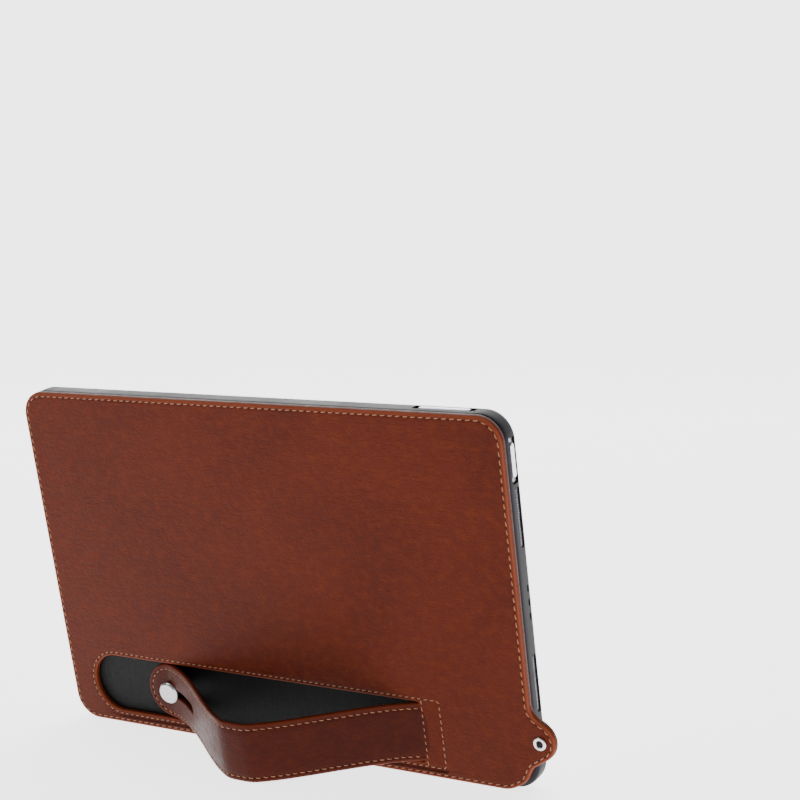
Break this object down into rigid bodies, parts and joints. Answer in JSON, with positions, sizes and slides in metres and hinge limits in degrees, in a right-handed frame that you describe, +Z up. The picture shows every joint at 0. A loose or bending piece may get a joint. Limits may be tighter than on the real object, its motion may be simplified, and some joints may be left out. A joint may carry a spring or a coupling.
{
  "type": "e-reader with stand case",
  "caption": "E-paper tablet in a leather-backed protective case whose sliding hand strap bows out as a stand.",
  "frame": {"origin": "centre of the footprint, on the surface that the case stands on", "axes": "+X along the long side, to the right as seen from the leather back; +Y towards the screen side; +Z up"},
  "size_m": [0.2688, 0.06, 0.1674],
  "materials": {
    "leather": "smooth waxed brown leather with fine creases",
    "strap_leather": "smooth waxed brown leather, stitched and lightly padded",
    "board": "matte pressed board",
    "liner": "black brushed lining",
    "frame": "matte charcoal flexible plastic",
    "nickel": "satin nickel plate",
    "tablet_metal": "bead-blasted aluminium",
    "button_metal": "polished-edge aluminium",
    "glass": "etched matte cover glass",
    "paper_screen": "matte e-paper, warm white",
    "light_guide": "clear light guide",
    "battery": "wrapped pouch cell",
    "circuit": "solder-masked board",
    "shield": "tinned sheet",
    "black_plastic": "moulded black plastic",
    "flex": "amber film",
    "steel": "plain steel"
  },
  "bodies": {
    "case": {"antenna_strip": "flex", "back_board": "board", "back_leather": "leather", "battery_left": "battery", "battery_right": "battery", "board_screw_1": "steel", "board_screw_2": "steel", "board_screw_3": "steel", "board_screw_4": "steel", "case_frame": "frame", "charge_chip": "black_plastic", "cover_glass": "glass", "display_cable": "flex", "display_panel": "paper_screen", "eyelet_barrel": "nickel", "eyelet_washer": "nickel", "light_guide": "light_guide", "main_board": "circuit", "memory_chip": "black_plastic", "microphone": "steel", "mid_frame": "shield", "port_board": "circuit", "power_switch": "black_plastic", "processor_shield": "shield", "radio_shield": "shield", "recess_liner": "liner", "rivet_cap": "nickel", "rivet_stud": "nickel", "speaker_lower_left": "black_plastic", "speaker_lower_right": "black_plastic", "speaker_upper_left": "black_plastic", "speaker_upper_right": "black_plastic", "strap_anchor": "leather", "tab_lining": "leather", "tablet_housing": "tablet_metal", "usb_port": "steel", "volume_switch": "black_plastic"},
    "strap_link_01": {"strap_link_01": "strap_leather"},
    "strap_link_02": {"strap_link_02": "strap_leather"},
    "strap_link_03": {"strap_link_03": "strap_leather"},
    "strap_link_04": {"strap_link_04": "strap_leather"},
    "strap_link_05": {"strap_link_05": "strap_leather"},
    "strap_link_06": {"strap_link_06": "strap_leather"},
    "strap_link_07": {"strap_link_07": "strap_leather"},
    "strap_link_08": {"strap_link_08": "strap_leather"},
    "strap_link_09": {"strap_link_09": "strap_leather"},
    "strap_link_10": {"strap_link_10": "strap_leather"},
    "strap_link_11": {"strap_link_11": "strap_leather"},
    "strap_link_12": {"strap_link_12_upper": "strap_leather", "strap_link_12_lower": "strap_leather"},
    "strap_link_13": {"strap_link_13_upper": "strap_leather", "strap_link_13_lower": "strap_leather"},
    "strap_end": {"strap_end": "strap_leather"},
    "power_button": {"power_button": "button_metal"},
    "volume_rocker": {"volume_rocker": "button_metal"}
  },
  "joints": [
    {"name": "strap_bow", "type": "hinge", "parent": "case", "child": "strap_link_01", "pos_m": [0.06908, 0.01596, 0.02126], "axis": [0, 0.171, -0.9853], "range_deg": [0, 25.89]},
    {"name": "bend_02", "type": "hinge", "parent": "strap_link_01", "child": "strap_link_02", "pos_m": [0.05748, 0.0104, 0.0203], "axis": [0, 0.171, -0.9853], "range_deg": [0, 8.67]},
    {"name": "bend_03", "type": "hinge", "parent": "strap_link_02", "child": "strap_link_03", "pos_m": [0.04684, 0.00322, 0.01905], "axis": [0, 0.171, -0.9853], "range_deg": [0, 3.54]},
    {"name": "bend_04", "type": "hinge", "parent": "strap_link_03", "child": "strap_link_04", "pos_m": [0.03666, -0.0046, 0.01769], "axis": [0, 0.171, -0.9853], "range_deg": [0, 0.669]},
    {"name": "bend_05", "type": "hinge", "parent": "strap_link_04", "child": "strap_link_05", "pos_m": [0.02658, -0.01252, 0.01632], "axis": [0, 0.171, -0.9853], "range_deg": [-2.02, 0]},
    {"name": "bend_06", "type": "hinge", "parent": "strap_link_05", "child": "strap_link_06", "pos_m": [0.01622, -0.02009, 0.015], "axis": [0, 0.171, -0.9853], "range_deg": [-5.5, 0]},
    {"name": "bend_07", "type": "hinge", "parent": "strap_link_06", "child": "strap_link_07", "pos_m": [0.00518, -0.02668, 0.01386], "axis": [0, 0.171, -0.9853], "range_deg": [-31.57, 0]},
    {"name": "bend_08", "type": "hinge", "parent": "strap_link_07", "child": "strap_link_08", "pos_m": [-0.00772, -0.02668, 0.01386], "axis": [0, 0.171, -0.9853], "range_deg": [-31.57, 0]},
    {"name": "bend_09", "type": "hinge", "parent": "strap_link_08", "child": "strap_link_09", "pos_m": [-0.01875, -0.02009, 0.015], "axis": [0, 0.171, -0.9853], "range_deg": [-5.5, 0]},
    {"name": "bend_10", "type": "hinge", "parent": "strap_link_09", "child": "strap_link_10", "pos_m": [-0.02911, -0.01252, 0.01632], "axis": [0, 0.171, -0.9853], "range_deg": [-2.02, 0]},
    {"name": "bend_11", "type": "hinge", "parent": "strap_link_10", "child": "strap_link_11", "pos_m": [-0.0392, -0.0046, 0.01769], "axis": [0, 0.171, -0.9853], "range_deg": [0, 0.669]},
    {"name": "bend_12", "type": "hinge", "parent": "strap_link_11", "child": "strap_link_12", "pos_m": [-0.04937, 0.00322, 0.01905], "axis": [0, 0.171, -0.9853], "range_deg": [0, 3.54]},
    {"name": "bend_13", "type": "hinge", "parent": "strap_link_12", "child": "strap_link_13", "pos_m": [-0.06001, 0.0104, 0.0203], "axis": [0, 0.171, -0.9853], "range_deg": [0, 8.67]},
    {"name": "strap_end_bend", "type": "hinge", "parent": "strap_link_13", "child": "strap_end", "pos_m": [-0.07162, 0.01596, 0.02126], "axis": [0, 0.171, -0.9853], "range_deg": [0, 26.22]},
    {"name": "power_press", "type": "slide", "parent": "case", "child": "power_button", "axis": [-1, 0, 0], "range_m": [0, 0.0003], "stiffness_N_per_m": 4000},
    {"name": "volume_tilt", "type": "hinge", "parent": "case", "child": "volume_rocker", "pos_m": [0.09358, -0.00201, 0.16399], "axis": [0, -0.9853, -0.171], "range_deg": [-1.2, 1.2], "stiffness_Nm_per_rad": 1.5}
  ],
  "couplings": [
    {"joint": "bend_02", "follows": "strap_bow", "ratio": 0.33025},
    {"joint": "bend_03", "follows": "strap_bow", "ratio": 0.13434},
    {"joint": "bend_04", "follows": "strap_bow", "ratio": 0.02476},
    {"joint": "bend_05", "follows": "strap_bow", "ratio": -0.076174},
    {"joint": "bend_06", "follows": "strap_bow", "ratio": -0.20897},
    {"joint": "bend_07", "follows": "strap_bow", "ratio": -1.2042},
    {"joint": "bend_08", "follows": "strap_bow", "ratio": -1.2042},
    {"joint": "bend_09", "follows": "strap_bow", "ratio": -0.20897},
    {"joint": "bend_10", "follows": "strap_bow", "ratio": -0.076174},
    {"joint": "bend_11", "follows": "strap_bow", "ratio": 0.02476},
    {"joint": "bend_12", "follows": "strap_bow", "ratio": 0.13434},
    {"joint": "bend_13", "follows": "strap_bow", "ratio": 0.33025},
    {"joint": "strap_end_bend", "follows": "strap_bow", "ratio": 1}
  ]
}
